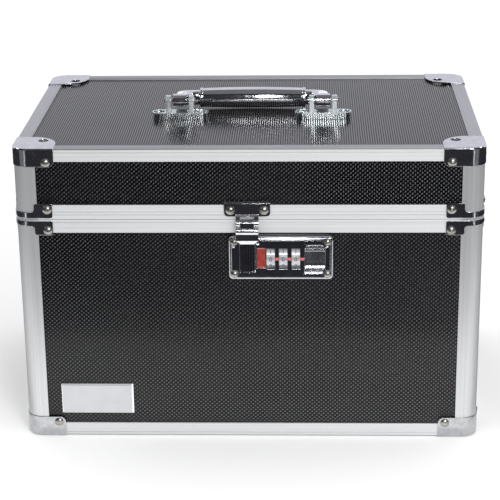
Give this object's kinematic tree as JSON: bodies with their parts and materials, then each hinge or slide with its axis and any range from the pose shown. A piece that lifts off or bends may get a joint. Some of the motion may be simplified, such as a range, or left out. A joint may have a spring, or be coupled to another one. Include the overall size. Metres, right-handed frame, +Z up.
{
  "type": "drone carrying case",
  "caption": "Rigid box case with aluminium edges, steel corner caps, hinged lid, folding handle and a combination lock with hasp; foam bays inside hold a small drone and its gear.",
  "frame": {"origin": "on the floor under the middle of the case", "axes": "+Z up, -Y out of the front with the lock, +X to the right as seen from the front, along the longest side"},
  "size_m": [0.3536, 0.2403, 0.2502],
  "materials": {
    "textured_board": "thin fibreboard faced with black plastic in a raised diamond pattern",
    "extrusion": "brushed and clear anodised",
    "pressed_steel": "chromed pressed sheet",
    "rivet": "polished nickel-plated rivet",
    "lock_body": "chromed zinc casting",
    "lock_works": "bright steel",
    "lock_dial": "chromed wheel with engraved numbers",
    "bolt_red": "red plastic",
    "hasp": "chromed pressed steel",
    "handle": "polished chrome",
    "hinge": "bright steel",
    "label": "brushed plate, left bare",
    "foam": "soft open-cell foam, dark grey"
  },
  "bodies": {
    "base": {"base_bottom_board": "textured_board", "base_front_board": "textured_board", "base_right_board": "textured_board", "base_back_board": "textured_board", "base_left_board": "textured_board", "base_posts": "extrusion", "base_bottom_edges": "extrusion", "base_rims": "extrusion", "bottom_corner_front_left": "pressed_steel", "bottom_corner_front_right": "pressed_steel", "bottom_corner_back_left": "pressed_steel", "bottom_corner_back_right": "pressed_steel", "base_clips": "pressed_steel", "base_rivets": "rivet", "label_plate": "label", "lock_housing": "lock_body", "lock_cover": "lock_works", "lock_rivets": "rivet", "wheel_axle": "lock_works", "slide_spring": "lock_works", "base_hinge_leaf_left": "hinge", "base_hinge_leaf_right": "hinge", "hinge_pins": "hinge", "base_hinge_rivets": "rivet", "base_foam": "foam"},
    "lid": {"lid_top_board": "textured_board", "lid_front_board": "textured_board", "lid_right_board": "textured_board", "lid_back_board": "textured_board", "lid_left_board": "textured_board", "lid_posts": "extrusion", "lid_top_edges": "extrusion", "lid_rims": "extrusion", "top_corner_front_left": "pressed_steel", "top_corner_front_right": "pressed_steel", "top_corner_back_left": "pressed_steel", "top_corner_back_right": "pressed_steel", "lid_clips": "pressed_steel", "lid_rivets": "rivet", "hasp_plate": "hasp", "hasp_pin": "hinge", "hasp_rivets": "rivet", "handle_bracket_left": "handle", "handle_bracket_right": "handle", "handle_pins": "handle", "handle_screws": "handle", "handle_nuts": "lock_works", "lid_hinge_leaf_left": "hinge", "lid_hinge_leaf_right": "hinge", "lid_hinge_rivets": "rivet", "lid_foam": "foam"},
    "handle": {"handle_bail": "handle", "handle_grip": "handle"},
    "hasp": {"hasp_leaf": "hasp"},
    "lock_slide": {"thumb_slide": "lock_body", "lock_bolt": "bolt_red"},
    "number_wheel_1": {"number_wheel_1": "lock_dial"},
    "number_wheel_2": {"number_wheel_2": "lock_dial"},
    "number_wheel_3": {"number_wheel_3": "lock_dial"}
  },
  "joints": [
    {"name": "lid_hinge", "type": "hinge", "parent": "base", "child": "lid", "pos_m": [0, 0.1156, 0.1775], "axis": [-1, 0, 0], "range_deg": [0, 100]},
    {"name": "handle_pivot", "type": "hinge", "parent": "lid", "child": "handle", "pos_m": [0, -0.0233, 0.245], "axis": [1, 0, 0], "range_deg": [0, 159]},
    {"name": "hasp_pivot", "type": "hinge", "parent": "lid", "child": "hasp", "pos_m": [-0.00105, -0.1164, 0.1756], "axis": [-1, 0, 0], "range_deg": [0, 135]},
    {"name": "lock_slide", "type": "slide", "parent": "base", "child": "lock_slide", "axis": [0, 0, -1], "range_m": [0, 0.0025], "stiffness_N_per_m": 300, "springref_m": -0.002, "deforming": ["slide_spring"]},
    {"name": "number_wheel_1_turn", "type": "hinge", "parent": "base", "child": "number_wheel_1", "pos_m": [0.0162, -0.1093, 0.1479], "axis": [1, 0, 0], "continuous": true},
    {"name": "number_wheel_2_turn", "type": "hinge", "parent": "base", "child": "number_wheel_2", "pos_m": [0.02555, -0.1093, 0.1479], "axis": [1, 0, 0], "continuous": true},
    {"name": "number_wheel_3_turn", "type": "hinge", "parent": "base", "child": "number_wheel_3", "pos_m": [0.0349, -0.1093, 0.1479], "axis": [1, 0, 0], "continuous": true}
  ]
}
